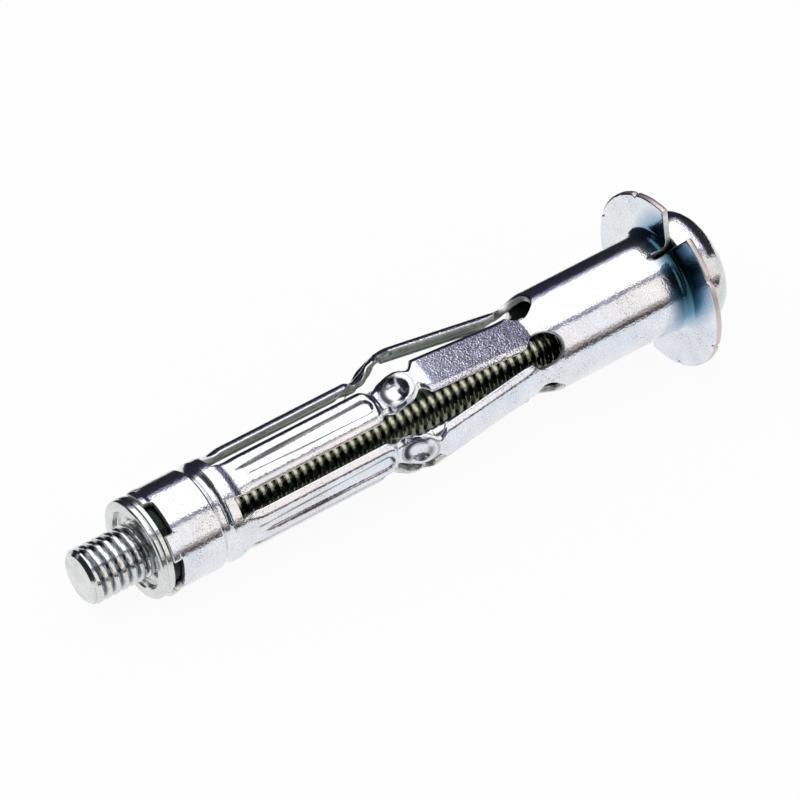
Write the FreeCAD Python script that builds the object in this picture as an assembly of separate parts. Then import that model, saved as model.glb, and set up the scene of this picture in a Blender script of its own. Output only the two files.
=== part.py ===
# Metal hollow wall anchor for an M5 screw, lying as it comes to rest on a table.
# Three pieces: a sleeve rolled from one strip of zinc-plated steel, a threaded nut held
# in the sleeve's front end, and a pan head screw that runs through both.
# Each piece is drawn along +X from the screw's tip to its head, with the first flange
# slit upwards, and the finished pieces are then laid down together.
import FreeCAD, Part
import math
import os

Vector = FreeCAD.Vector

# Screw, in millimetres
thread_radius = 2.42
tip_chamfer = 0.35
tip_reach = 5.2
head_radius = 5.15
head_side = 1.8
head_corner_radius = 1.9
head_crown = 0.3
recess_width = 4.6
recess_wing = 0.95
recess_depth = 2.4
recess_taper = 0.55

# Nut
nut_rim_length = 1.1
nut_rim_radius = 4.35
nut_rim_chamfer = 0.2
nut_rim_groove = 0.12
nut_end_clearance = 0.3
nut_mouth_radius = 3.45
nut_mouth_depth = 0.6
thread_clearance = 0.03
nut_clearance = 0.02

# Sleeve strip, collar and bead
sheet = 0.55
collar_radius = 4.4
collar_length = 4.75
tab_swell = 0.18
tab_length = 0.9
notch_angle = 42.0
notch_turn = 6.0
notch_depth = 0.85
groove_length = 1.25
groove_floor = 0.4
groove_depth = 0.35
bead_length = 0.9
crease_length = 2.0
crease_depth = 0.12
seam_gap = 0.12

# Legs; the first stands a little past the first flange slit
leg_count = 5
leg_turn = 2.0
leg_radius = 4.36
leg_width = 3.5
straight_length = 14.6
waist_length = 1.1
waist_depth = 0.26
waist_width = 2.3
waist_bend = 0.5
step_length = 1.2
step_height = 0.85
step_bend = 0.9
eye_length = 2.2
eye_width = 3.15
eye_side = 1.7
eye_bend = 0.7
neck_width = 1.9
neck_reach = 0.8
neck_bend = 0.3
shoulder_reach = 0.75
bulge_rise = 0.45
slope_length = 11.0
hinge_depth = 0.5
hinge_length = 2.0
keyhole_diameter = 3.1
keyhole_shift = 0.4
channel_width = 1.6
channel_depth = 0.26
channel_margin = 0.6
channel_taper = 2.0
channel_blunt = 0.6
channel_lift = 0.05
dimple_diameter = 2.6
dimple_depth = 0.6
dimple_draw = 0.45
dimple_tilt = 32.0

# Tube and flange
tube_radius = 4.38
tube_length = 13.2
bend_radius = 0.7
flange_radius = 7.95
slit_root_width = 0.5
slit_rim_width = 3.3
slit_depth = 2.0
rim_nick_angles = (40.0, 90.0, 140.0)
rim_nick_depth = 0.35

# How far a cutting shape reaches past what it cuts, and how near the axis it starts
overcut = 1.0
cut_core_radius = 2.8

# Places along the axis, worked out from the sizes above
sleeve_start = tip_reach + nut_rim_length
groove_middle = sleeve_start + collar_length + groove_length / 2
bead_start = groove_middle + groove_length / 2
leg_start = bead_start + bead_length
crease_middle = leg_start + crease_length / 2
straight_end = leg_start + straight_length
waist_middle = straight_end + waist_length / 2
step_start = straight_end + waist_length
step_end = step_start + step_length
eye_middle = (step_start + step_end) / 2 + eye_length / 4
crest_at = step_end + eye_length
hinge_at = crest_at + slope_length
keyhole_at = hinge_at + keyhole_shift
tube_start = hinge_at + hinge_length
flange_back = tube_start + tube_length
flange_front = flange_back - sheet
slit_start = flange_back - slit_depth

# Radii of the strip's outer side, and the angles of the legs, gaps and front notches
waist_radius = leg_radius - waist_depth
step_radius = waist_radius + step_height
crest_radius = step_radius + bulge_rise
hinge_radius = tube_radius - hinge_depth
pitch_angle = 360.0 / leg_count
leg_angles = [leg_turn + pitch_angle * leg for leg in range(leg_count)]
gap_angles = [angle + pitch_angle / 2 for angle in leg_angles]
notch_angles = [notch_turn + pitch_angle * leg for leg in range(leg_count)]

axis_point = Vector(0, 0, 0)
along = Vector(1, 0, 0)
up = Vector(0, 0, 1)


def turned(shape, angle):
    """A copy of the shape turned about the anchor's axis, from up towards -Y."""
    copy = shape.copy()
    copy.rotate(axis_point, along, angle)
    return copy


def around(shape, angles):
    """One copy of the shape at each angle, as a list."""
    return [turned(shape, angle) for angle in angles]


def rounded_line(points, bends):
    """The edges of a line through the points, each inner corner bent as an arc."""
    edges = []
    start = points[0]
    for index in range(1, len(points) - 1):
        corner = points[index]
        back = (points[index - 1] - corner).normalize()
        ahead = (points[index + 1] - corner).normalize()
        half = back.getAngle(ahead) / 2
        bend = bends[index]
        if bend == 0:
            edges.append(Part.makeLine(start, corner))
            start = corner
            continue
        setback = bend / math.tan(half)
        middle = (back + ahead).normalize() * (bend / math.sin(half) - bend)
        arc_start = corner + back * setback
        arc_end = corner + ahead * setback
        edges.append(Part.makeLine(start, arc_start))
        edges.append(Part.Arc(arc_start, corner + middle, arc_end).toShape())
        start = arc_end
    edges.append(Part.makeLine(start, points[-1]))
    return edges


def revolved(face, sweep=360.0):
    """The face turned round the anchor's axis."""
    return face.revolve(axis_point, along, sweep)


def closed_face(points):
    """A flat face from (x, y, z) corners."""
    corners = [Vector(*point) for point in points]
    return Part.Face(Part.makePolygon(corners + corners[:1]))


def sleeve_blank():
    """The rolled strip before its cut-outs, with the butt joint of its edges underneath."""
    groove_radius = collar_radius - groove_depth
    corners = [
        (sleeve_start, collar_radius + tab_swell, 0),
        (sleeve_start + tab_length / 2, collar_radius + tab_swell, 0),
        (sleeve_start + tab_length, collar_radius, 0),
        (groove_middle - groove_length / 2, collar_radius, 0),
        (groove_middle - groove_floor / 2, groove_radius, 0),
        (groove_middle + groove_floor / 2, groove_radius, 0),
        (bead_start, collar_radius, 0),
        (leg_start, collar_radius, 0),
        (crease_middle, leg_radius - crease_depth, 0),
        (crease_middle + crease_length / 2, leg_radius, 0),
        (straight_end, leg_radius, 0),
        (waist_middle, waist_radius, 0),
        (step_start, waist_radius, step_bend),
        (step_end, step_radius, step_bend),
        (crest_at, crest_radius, 0),
        (hinge_at, hinge_radius, 0),
        (tube_start, tube_radius, 0),
        (flange_front, tube_radius, bend_radius),
        (flange_front, flange_radius, 0),
    ]
    outside = rounded_line([Vector(x, 0, z) for x, z, bend in corners],
                           [bend for x, z, bend in corners])
    band = Part.Wire(outside).makeOffset2D(-sheet, 2, True, True)
    section = Part.Face(Part.Wire(Part.sortEdges(band.Edges)[0]))
    seam_angle = math.degrees(seam_gap / collar_radius)
    return revolved(turned(section, 180 + seam_angle / 2), 360 - seam_angle)


def leg_strip():
    """The upright prism that holds one leg: its plan is the leg's outline in the strip."""
    eye_end = eye_middle + eye_side / 2
    neck_at = eye_end + neck_reach
    side = [
        (leg_start - overcut, leg_width, 0),
        (straight_end, leg_width, 0),
        (waist_middle, waist_width, waist_bend),
        (eye_middle - eye_side / 2, eye_width, eye_bend),
        (eye_end, eye_width, eye_bend),
        (neck_at, neck_width, neck_bend),
        (neck_at + shoulder_reach, leg_width, 0),
        (keyhole_at + overcut, leg_width, 0),
    ]
    bends = [bend for x, width, bend in side]
    left = rounded_line([Vector(x, width / 2, cut_core_radius) for x, width, bend in side], bends)
    right = rounded_line([Vector(x, -width / 2, cut_core_radius) for x, width, bend in side], bends)
    ends = [Part.makeLine(left[index].Vertexes[index].Point, right[index].Vertexes[index].Point)
            for index in (0, -1)]
    plan = Part.Face(Part.Wire(Part.sortEdges(left + right + ends)[0]))
    return plan.extrude(up * flange_radius)


def leg_windows():
    """The gaps between the legs."""
    reach = keyhole_at - leg_start
    front = Vector(leg_start, 0, 0)
    ring = Part.makeCylinder(flange_radius, reach, front, along)
    core = Part.makeCylinder(cut_core_radius, reach, front, along)
    return [ring.cut([core] + around(leg_strip(), leg_angles))]


def keyholes():
    """The round hole that ends each gap at the tube."""
    hole = Part.makeCylinder(keyhole_diameter / 2, flange_radius, Vector(keyhole_at, 0, 0), up)
    return around(hole, gap_angles)


def tapered_bar(radius, height):
    """A round bar above one leg, with a long point in front and a blunt one behind.

    Its points end a little clear of the leg.
    """
    start = crease_middle + channel_margin
    end_radius = radius - channel_depth - channel_lift
    front = Vector(start, 0, height)
    back = Vector(straight_end - channel_blunt, 0, height)
    taper = Part.makeCone(end_radius, radius, channel_taper, front, along)
    reach = back.x - start - channel_taper
    bar = Part.makeCylinder(radius, reach, front + along * channel_taper, along)
    blunt = Part.makeCone(radius, end_radius, channel_blunt, back, along)
    return taper.fuse([bar, blunt])


def channel_press():
    """The pressed channel of one leg: the metal pushed in, and the hollow it leaves."""
    radius = (channel_width ** 2 / 4 + channel_depth ** 2) / (2 * channel_depth)
    height = leg_radius - channel_depth + radius
    inside = Part.makeCylinder(leg_radius - sheet / 2, straight_end - leg_start,
                               Vector(leg_start, 0, 0), along)
    pushed = tapered_bar(radius + sheet, height).common(inside)
    return pushed, tapered_bar(radius, height)


def dimple_press():
    """The round dimple on the step of one leg: the metal pushed in, and its hollow."""
    radius = (dimple_diameter ** 2 / 4 + dimple_depth ** 2) / (2 * dimple_depth)
    tilt = math.radians(dimple_tilt)
    outward = Vector(-math.sin(tilt), 0, math.cos(tilt))
    seat = Vector(eye_middle, 0, step_radius)
    hollow = Part.makeSphere(radius, seat + outward * (radius - dimple_depth))
    boss_radius = dimple_diameter / 2 - dimple_draw
    boss_height = dimple_depth + sheet / 2
    boss_end = seat - outward * (dimple_depth + sheet)
    boss = Part.makeCone(boss_radius, boss_radius + sheet, boss_height, boss_end, outward)
    return boss, hollow


def collar_notches():
    """The square notches in the front edge, one nearly in line with each leg."""
    half = collar_radius * math.sin(math.radians(notch_angle / 2))
    corner = Vector(sleeve_start - overcut, -half, cut_core_radius)
    block = Part.makeBox(notch_depth + overcut, half * 2, collar_radius, corner)
    return around(block, notch_angles)


def flange_slits():
    """The two slits that part the flange into wings, wider towards the rim."""
    root = slit_root_width / 2
    rim = slit_rim_width / 2
    outline = [
        (-root, cut_core_radius),
        (-root, tube_radius + sheet / 2),
        (-rim, flange_radius),
        (-rim, flange_radius + overcut),
        (rim, flange_radius + overcut),
        (rim, flange_radius),
        (root, tube_radius + sheet / 2),
        (root, cut_core_radius),
    ]
    plan = closed_face([(slit_start, y, z) for y, z in outline])
    return around(plan.extrude(along * (slit_depth + overcut)), (0, 180))


def rim_nicks():
    """Small pointed nicks that the shearing tool leaves in the rim of each wing."""
    outline = [
        (0, flange_radius - rim_nick_depth),
        (rim_nick_depth, flange_radius + rim_nick_depth),
        (-rim_nick_depth, flange_radius + rim_nick_depth),
    ]
    plan = closed_face([(flange_front - overcut, y, z) for y, z in outline])
    nick = plan.extrude(along * (sheet + overcut * 2))
    angles = [side * angle for angle in rim_nick_angles for side in (1, -1)]
    return around(nick, angles)


def make_sleeve():
    """The rolled sleeve with all its cut-outs and pressed forms."""
    pushed_in = []
    hollows = []
    for pushed, hollow in (channel_press(), dimple_press()):
        pushed_in += around(pushed, leg_angles)
        hollows += around(hollow, leg_angles)
    sleeve = sleeve_blank().fuse(pushed_in).cut(hollows)
    for cuts in (leg_windows(), keyholes(), collar_notches(), flange_slits(), rim_nicks()):
        sleeve = sleeve.cut(cuts)
    return sleeve


def make_nut():
    """The threaded nut: a rim in front of the sleeve and a body inside its collar."""
    bore = thread_radius + thread_clearance
    body = collar_radius - sheet - nut_clearance
    end = sleeve_start + collar_length - nut_end_clearance
    step = nut_rim_chamfer
    middle = tip_reach + nut_rim_length / 2
    outline = [
        (tip_reach, nut_mouth_radius),
        (tip_reach, nut_rim_radius - step),
        (tip_reach + step, nut_rim_radius),
        (middle - nut_rim_groove, nut_rim_radius),
        (middle, nut_rim_radius - nut_rim_groove),
        (middle + nut_rim_groove, nut_rim_radius),
        (sleeve_start, nut_rim_radius),
        (sleeve_start, body),
        (end - step, body),
        (end, body - step),
        (end, bore),
        (tip_reach + nut_mouth_depth + step, bore),
        (tip_reach + nut_mouth_depth, bore + step * 2),
        (tip_reach + nut_mouth_depth, nut_mouth_radius - step),
    ]
    return revolved(closed_face([(x, 0, z) for x, z in outline]))


def driver_recess(top):
    """The tapered cross recess in the screw's head."""
    wide = recess_width / 2
    narrow = wide * recess_taper
    wing = recess_wing / 2
    bottom = top - recess_depth
    outline = [
        (bottom, -narrow),
        (top, -wide),
        (top + overcut, -wide),
        (top + overcut, wide),
        (top, wide),
        (bottom, narrow),
    ]
    plan = closed_face([(x, -wing, z) for x, z in outline])
    blade = plan.extrude(Vector(0, recess_wing, 0))
    return turned(blade, 45).fuse(turned(blade, 135))


def make_screw():
    """The pan head screw, with its thread as a plain cylinder of the outer diameter."""
    neck = head_radius - head_corner_radius
    side_top = flange_back + head_side
    crown_start = side_top + head_corner_radius
    top = crown_start + head_crown
    slant = math.sqrt(0.5)
    points = [
        Vector(0, 0, 0),
        Vector(0, 0, thread_radius - tip_chamfer),
        Vector(tip_chamfer, 0, thread_radius),
        Vector(flange_back, 0, thread_radius),
        Vector(flange_back, 0, head_radius),
        Vector(side_top, 0, head_radius),
    ]
    edges = [Part.makeLine(a, b) for a, b in zip(points, points[1:])]
    corner = Vector(side_top + head_corner_radius * slant, 0, neck + head_corner_radius * slant)
    shoulder = Vector(crown_start, 0, neck)
    edges.append(Part.Arc(points[-1], corner, shoulder).toShape())
    # Half way out from its middle, a shallow crown has lost a quarter of its rise.
    crown_middle = Vector(crown_start + head_crown * 3 / 4, 0, neck / 2)
    edges.append(Part.Arc(shoulder, crown_middle, Vector(top, 0, 0)).toShape())
    edges.append(Part.makeLine(Vector(top, 0, 0), points[0]))
    body = revolved(Part.Face(Part.Wire(edges)))
    return body.cut(driver_recess(top))


def laid_down(pieces):
    """The pieces leaning on the collar's front and the wing corners beside the lower slit."""
    front_z = -(collar_radius + tab_swell)
    wing_z = -math.sqrt(flange_radius ** 2 - slit_rim_width ** 2 / 4)
    lean = math.degrees(math.atan2(front_z - wing_z, flange_front - sleeve_start))
    for piece in pieces:
        piece.rotate(Vector(flange_front, 0, wing_z), Vector(0, 1, 0), -lean)
    box = Part.makeCompound(pieces).optimalBoundingBox()
    for piece in pieces:
        piece.translate(Vector(-box.Center.x, -box.Center.y, -box.ZMin))
    return pieces


names = ("sleeve", "nut", "screw")
pieces = laid_down([make_sleeve(), make_nut(), make_screw()])

os.makedirs("parts", exist_ok=True)
for name, piece in zip(names, pieces):
    piece.exportStep("parts/" + name + ".step")
    print(name, "solids", len(piece.Solids), "valid", piece.isValid(), "volume", round(piece.Volume, 3))
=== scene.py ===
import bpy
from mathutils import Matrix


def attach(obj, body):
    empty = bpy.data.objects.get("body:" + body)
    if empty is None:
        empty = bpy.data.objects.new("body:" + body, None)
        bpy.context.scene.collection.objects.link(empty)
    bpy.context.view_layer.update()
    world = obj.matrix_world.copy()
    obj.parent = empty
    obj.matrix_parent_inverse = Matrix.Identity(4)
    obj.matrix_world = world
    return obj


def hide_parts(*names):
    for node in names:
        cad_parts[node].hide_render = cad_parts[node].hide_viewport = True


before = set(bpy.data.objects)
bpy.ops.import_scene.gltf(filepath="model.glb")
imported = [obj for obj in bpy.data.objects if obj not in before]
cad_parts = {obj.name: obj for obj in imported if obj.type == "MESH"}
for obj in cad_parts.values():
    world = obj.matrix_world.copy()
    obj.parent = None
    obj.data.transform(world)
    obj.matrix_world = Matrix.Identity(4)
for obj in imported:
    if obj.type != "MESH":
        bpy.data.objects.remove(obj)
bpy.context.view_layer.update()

import math

import bmesh
import bpy
import numpy as np
from mathutils import Vector


# The sleeve is one strip of zinc-plated steel, punched with its slots and keyholes, pressed
# with channels and dimples, and rolled until its long edges butt together underneath. Its
# collar grips the nut, and its flange, slit into two wings, bears on the wall.

# Every piece is drawn in millimetres along X from the screw's tip, with the flange's upper
# slit towards Z, and is then laid on the table with its tip low.
tip_place = (-31.14312, 0.0, 4.19606)
rest_lean = math.radians(3.541817)


def laid_down(points):
    """Points of the drawing, in millimetres, as points of the resting anchor in metres."""
    x, y, z = np.asarray(points, float).T
    flat = (tip_place[0] + x * math.cos(rest_lean) - z * math.sin(rest_lean),
            tip_place[1] + y,
            tip_place[2] + x * math.sin(rest_lean) + z * math.cos(rest_lean))
    return np.stack(flat, axis=1) / 1000


def rounded_path(corners, step):
    """Points along a line of (x, z, radius) corners, each corner bent to its radius."""
    path = [np.array(corners[0][:2], float)]
    for before, corner, after in zip(corners, corners[1:], corners[2:]):
        point = np.array(corner[:2], float)
        radius = corner[2]
        back = np.array(before[:2]) - point
        ahead = np.array(after[:2]) - point
        back = back / np.linalg.norm(back)
        ahead = ahead / np.linalg.norm(ahead)
        half = math.acos(max(-1.0, min(1.0, back @ ahead))) / 2
        sweep = math.pi - 2 * half
        if radius == 0 or sweep < 0.001:
            path.append(point)
            continue
        middle = (back + ahead) / np.linalg.norm(back + ahead)
        centre = point + middle * radius / math.sin(half)
        first = point + back * radius / math.tan(half) - centre
        last = point + ahead * radius / math.tan(half) - centre
        count = max(2, math.ceil(sweep * radius / step))
        for turn in np.linspace(0, sweep, count + 1):
            bent = math.sin(sweep - turn) * first + math.sin(turn) * last
            path.append(centre + bent / math.sin(sweep))
    path.append(np.array(corners[-1][:2], float))
    return np.array(path)


sheet = 0.55
leg_count = 5
leg_pitch = math.radians(72)
leg_turn = math.radians(2)
notch_turn = math.radians(6)
notch_half = math.radians(21)
seam_half = math.radians(0.75)
leg_start = 13.20
bend_start = 57.20
flange_radius = 7.95
path_step = 0.03
sleeve_profile = rounded_path([
    (6.30, 4.58, 0), (6.75, 4.58, 0.5), (7.20, 4.40, 0.8), (11.05, 4.40, 0.25),
    (11.475, 4.05, 0.2), (11.875, 4.05, 0.2), (12.30, 4.40, 0.25), (leg_start, 4.40, 0.4),
    (14.10, 4.18, 0.8), (15.20, 4.36, 3.0), (27.80, 4.36, 1.2), (28.35, 4.10, 0.8),
    (28.90, 4.10, 0.9), (30.10, 4.95, 0.9), (32.30, 5.40, 3.0), (43.25, 3.885, 0.15),
    (43.75, 3.94, 0.2), (45.30, 4.38, 2.0), (57.95, 4.38, 0.7), (57.95, flange_radius, 0),
], path_step)
profile_steps = np.linalg.norm(np.diff(sleeve_profile, axis=0), axis=1)
profile_length = np.concatenate([[0], np.cumsum(profile_steps)])


def length_at(x):
    """How far along the sheet's outer side a place before the flange's bend is."""
    before = sleeve_profile[:, 0] <= bend_start + 0.06
    return np.interp(x, sleeve_profile[before, 0], profile_length[before])


def profile_at(length):
    """The (x, radius) of the sheet's outer side, that far along it."""
    place = [np.interp(length, profile_length, sleeve_profile[:, k]) for k in (0, 1)]
    return np.stack(place, axis=-1)


leg_plan = rounded_path([
    (leg_start, 1.75, 0), (27.5, 1.75, 0.8), (28.35, 1.15, 0.5), (29.2, 1.575, 0.7),
    (30.9, 1.575, 0.7), (31.7, 0.95, 0.3), (32.45, 1.75, 0.15), (43.3, 1.75, 0),
], path_step)
keyhole_middle = 43.70
keyhole_radius = 1.55
keyhole_turn = math.radians(45)
leg_end = keyhole_middle + keyhole_radius * math.sin(keyhole_turn)
channel_span = (14.2, 27.0)
channel_halves = (0.55, 0.80)
channel_wall = 0.34
channel_depth = 0.26
channel_start, channel_rise = 14.1, 1.6
rolled_width = 0.62
rolled_depth = 0.26
rolled_start, rolled_rise = 13.6, 1.2
rolled_end, rolled_fall = 42.6, 1.5
dimple_lean = math.radians(32)
dimple_radius = 1.3
dimple_depth = 0.6
dimple_soft = 0.004
dimple_x = 30.05
lip_radius, lip_width, lip_height = 1.5, 0.16, 0.05
dimple_way = np.array([-math.sin(dimple_lean), 0.0, math.cos(dimple_lean)])
dimple_sphere = (dimple_radius ** 2 + dimple_depth ** 2) / (2 * dimple_depth)
dimple_centre = np.array([dimple_x, 0.0, 4.95]) + dimple_way * (dimple_sphere - dimple_depth)
eye_middle = 30
eye_reach = 3


def smooth(value):
    """Nought below 0 and one above 1, with a soft rise between them."""
    value = np.clip(value, 0, 1)
    return value * value * (3 - 2 * value)


def peak(value, middle, width):
    """One where the value is at the middle, and fading out over that width."""
    return np.exp(-((value - middle) / width) ** 2)


def leg_half_angle(x, radius):
    """Half the angle of a leg, with the bites that the two keyholes take out of its sides."""
    half = np.arcsin(np.interp(x, leg_plan[:, 0], leg_plan[:, 1]) / radius)
    reach = np.sqrt(np.clip(keyhole_radius ** 2 - (x - keyhole_middle) ** 2, 0, None))
    bitten = leg_pitch / 2 - np.arcsin(reach / radius)
    narrowed = np.where(x > keyhole_middle, bitten, np.minimum(half, bitten))
    return np.where(x > keyhole_middle - keyhole_radius, narrowed, half)


def in_channel(x, across):
    """How far inside the outline of a leg's channel a place is, with its round end at the eye."""
    beyond = np.clip(x - channel_span[1], 0, None)
    return np.interp(x, channel_span, channel_halves) - np.sqrt(across ** 2 + beyond ** 2)


def pressed(points, half_width):
    """An upright leg's points with channel and dimple pressed in and its edges rolled in."""
    x, across, height = points[..., 0], points[..., 1], points[..., 2]
    channel = channel_depth * smooth(in_channel(x, across) / channel_wall)
    channel = channel * smooth((x - channel_start) / channel_rise)
    edge_share = np.clip(1 - (half_width - np.abs(across)) / rolled_width, 0, 1)
    rolled = rolled_depth * edge_share ** 2 * smooth((x - rolled_start) / rolled_rise)
    rolled = rolled * smooth((rolled_end - x) / rolled_fall)
    moved = points.copy()
    moved[..., 2] = height - channel - rolled
    off = moved - dimple_centre
    rise = off @ dimple_way
    aside = np.linalg.norm(off - rise[..., None] * dimple_way, axis=-1)
    deep = rise + np.sqrt(np.clip(dimple_sphere ** 2 - aside ** 2, 0, None))
    in_eye = np.abs(x - eye_middle) < eye_reach
    softened = (deep + np.sqrt(deep ** 2 + dimple_soft)) / 2
    deep = np.where((aside < dimple_sphere) & in_eye, softened, 0)
    lip = lip_height * peak(aside, lip_radius, lip_width) * in_eye
    return moved - (deep - lip)[..., None] * dimple_way


def sheet_points(lengths, angles, leg_middle=None, leg_half=None):
    """The outer side of the sheet at each pair of length and angle, as drawing points."""
    place = profile_at(lengths)
    x, radius = place[..., 0], place[..., 1]
    if leg_middle is None:
        return np.stack([x, -radius * np.sin(angles), radius * np.cos(angles)], axis=-1)
    off = angles - leg_middle
    upright = np.stack([x, radius * np.sin(off), radius * np.cos(off)], axis=-1)
    upright = pressed(upright, radius * np.sin(leg_half))
    turned_y = upright[..., 1] * math.cos(leg_middle) + upright[..., 2] * math.sin(leg_middle)
    turned_z = upright[..., 2] * math.cos(leg_middle) - upright[..., 1] * math.sin(leg_middle)
    return np.stack([upright[..., 0], -turned_y, turned_z], axis=-1)


def painted_shade_on_leg(points, half_width):
    """How much painted shade darkens an upright leg, from nought to one.

    The shade is painted on the channel's upper wall and at its lower wall's foot, in a line along
    the leg's edge, and in the dimple as a crescent, a fainter shade opposite and a thin rim. All
    places and widths are in millimetres on the leg.
    """
    x, across = points[..., 0], points[..., 1]
    inside = in_channel(x, across)
    ends = smooth((x - 14.3) / 0.5) * (x < 28.2)
    upper = smooth((0.30 - across) / 0.35)
    wall = smooth(inside / 0.07) * (1 - smooth((inside - 0.22) / 0.12)) * upper * ends
    foot = peak(inside, 0.10, 0.05) * (1 - upper) * ends * 0.8
    line = peak(half_width - across, 0.48, 0.05) * smooth((x - 14.5) / 1.0) * (x < 27.5) * 0.7
    toward = np.stack([x - dimple_x, across], axis=-1)
    far = np.linalg.norm(toward, axis=-1)
    side = (toward @ np.array([-0.80, -0.60])) / np.maximum(far, 0.01)
    crescent = smooth((far - 0.70) / 0.3) * (1 - smooth((far - 1.22) / 0.16))
    crescent = crescent * smooth((side + 0.1) / 0.5)
    shade = peak(far, 0.75, 0.28) * smooth((-side - 0.2) / 0.6) * 0.7
    rim = peak(far, 1.42, 0.07) * 0.6
    return np.clip(wall + foot + line + crescent + shade + rim, 0, 1)


sleeve_corners = []
sleeve_painted_shade = []
sleeve_faces = []


def stations(start, *runs):
    """Places from the start on to each run's end, each run in its number of even steps."""
    line = [np.array([start], float)]
    for end, steps in runs:
        line.append(np.linspace(line[-1][-1], end, steps + 1)[1:])
    return np.concatenate(line)


def add_sheet(points, left_out=None, painted_shade=0.0):
    """Adds a net of points to the sleeve, less the cells left out, with its share of painted shade.
    """
    rows, columns = points.shape[:2]
    first = sum(len(block) for block in sleeve_corners)
    sleeve_corners.append(points.reshape(-1, 3))
    sleeve_painted_shade.append(np.broadcast_to(painted_shade, (rows, columns)).reshape(-1))
    for row in range(rows - 1):
        for column in range(columns - 1):
            if left_out is not None and left_out[row, column]:
                continue
            here = first + row * columns + column
            sleeve_faces.append((here, here + 1, here + columns + 1, here + columns))


# The columns of a leg stand closer together near its two rolled edges.
leg_columns = 24
even_share = np.linspace(-1, 1, leg_columns + 1)
leg_share = 0.4 * even_share + 0.6 * even_share * (1.5 - 0.5 * even_share ** 2)
gap_columns = 4
# The first leg's outer side is up. The strip's seam lies underneath, between these two legs.
top_leg = 0
leg_before_seam, leg_after_seam = 2, 3

# Collar, groove and bead: whole rings but for the seam and the five notches at the front.
# Behind the notches the columns slide across to where the legs' columns stand.
collar_x = stations(6.30, (7.15, 5), (10.9, 8), (leg_start, 25))
collar_lengths = length_at(collar_x)
collar_radii = profile_at(collar_lengths)[:, 1]
front_half = float(leg_half_angle(collar_x[-1], collar_radii[-1]))
notch_rows = 5
notch_columns = 18
side_columns = 3
spare_turn = 0.06
slide_start, slide_length = 7.4, 5.8
notched = stations(-front_half, (notch_turn - leg_turn - notch_half, side_columns),
                   (notch_turn - leg_turn + notch_half, notch_columns),
                   (front_half + spare_turn, side_columns))
for leg in range(leg_count):
    middle = leg_turn + leg * leg_pitch
    to_leg = smooth((collar_x - slide_start) / slide_length)[:, None]
    angles = middle + notched * (1 - to_leg) + front_half * leg_share * to_leg
    notch = np.zeros((len(collar_x) - 1, leg_columns), bool)
    notch[:notch_rows, side_columns:side_columns + notch_columns] = True
    lengths = np.broadcast_to(collar_lengths[:, None], angles.shape)
    add_sheet(sheet_points(lengths, angles), notch)
    first = angles[:, -1:]
    last = ((leg_pitch + middle + notched[0]) * (1 - to_leg)
            + (leg_pitch + middle - front_half) * to_leg)
    parts = [(first, last, 2 * gap_columns)]
    if leg == leg_before_seam:
        parts = [(first, math.pi - seam_half, gap_columns),
                 (math.pi + seam_half, last, gap_columns)]
    for left, right, count in parts:
        share = np.linspace(0, 1, count + 1)[None, :]
        angles = left * (1 - share) + right * share
        lengths = np.broadcast_to(collar_lengths[:, None], angles.shape)
        add_sheet(sheet_points(lengths, angles))

# Legs: each a strip with a waist, an eye with a dimple, a neck and a long slope to the hinge.
leg_x = np.concatenate([
    stations(leg_start, (15.2, 8), (26.6, 26), (33.3, 67), (42.15, 15), (43.0, 5),
             (keyhole_middle, 12)),
    keyhole_middle + keyhole_radius * np.sin(np.linspace(0, keyhole_turn, 9))[1:]])
leg_lengths = length_at(leg_x)
leg_radii = profile_at(leg_lengths)[:, 1]
leg_halves = leg_half_angle(leg_x, leg_radii)[:, None]
for leg in range(leg_count):
    middle = leg_turn + leg * leg_pitch
    angles = middle + leg_halves * leg_share[None, :]
    lengths = np.broadcast_to(leg_lengths[:, None], angles.shape)
    across = leg_radii[:, None] * np.sin(angles - middle)
    flat = np.stack([np.broadcast_to(leg_x[:, None], angles.shape), across], axis=-1)
    add_sheet(sheet_points(lengths, angles, middle, np.broadcast_to(leg_halves, angles.shape)),
              painted_shade=painted_shade_on_leg(flat, leg_radii[:, None] * np.sin(leg_halves)))

# Tube and flange: the first row runs round the keyholes, with a line of painted shade behind it,
# and the columns step aside for the slits. The flange's rim has six small nicks.
first_rows = [(leg_end + run, 1) for run in (0.14, 0.32, 0.6, 1.0, 1.5)]
tube_x = stations(leg_end, *first_rows, (56.5, 15), (bend_start, 4))
tube_lengths = length_at(tube_x)
bend_end = tube_lengths[-1] + 1.30
flange_lengths = stations(tube_lengths[-1], (bend_end, 12), (profile_length[-1], 11))
tube_lengths = np.concatenate([tube_lengths, flange_lengths[1:]])
tube_place = profile_at(tube_lengths)
slit_start = 56.4
aside_start, aside_length = 48.0, 8.0
even_length = 3.5
slit_half = np.interp(tube_place[:, 1], [4.655, flange_radius], [0.25, 1.65])
slit_angle = np.arcsin(slit_half / tube_place[:, 1])
slit_rows = tube_place[:-1, 0] > slit_start
slit_columns = 2
push_reach = 3.0
keyhole_shade = 0.8
nick_depth = 0.3
nick_angles = [math.radians(side * angle) for angle in (40, 90, 140) for side in (1, -1)]
hole_radius = float(profile_at(length_at(leg_end))[1])
hole_edge = leg_pitch / 2 - math.asin(keyhole_radius * math.cos(keyhole_turn) / hole_radius)


def keyhole_back(offsets):
    """How far behind the legs' ends the keyhole's edge lies, at each angle from its middle."""
    aside = hole_radius * np.sin(np.abs(offsets))
    return np.sqrt(np.clip(keyhole_radius ** 2 - aside ** 2, 0, None)) + keyhole_middle - leg_end


def keyhole_limit(offset):
    """The turn round the keyhole's edge at which it is that angle from the keyhole's middle."""
    return math.acos(min(1.0, hole_radius * math.sin(offset) / keyhole_radius))


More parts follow.
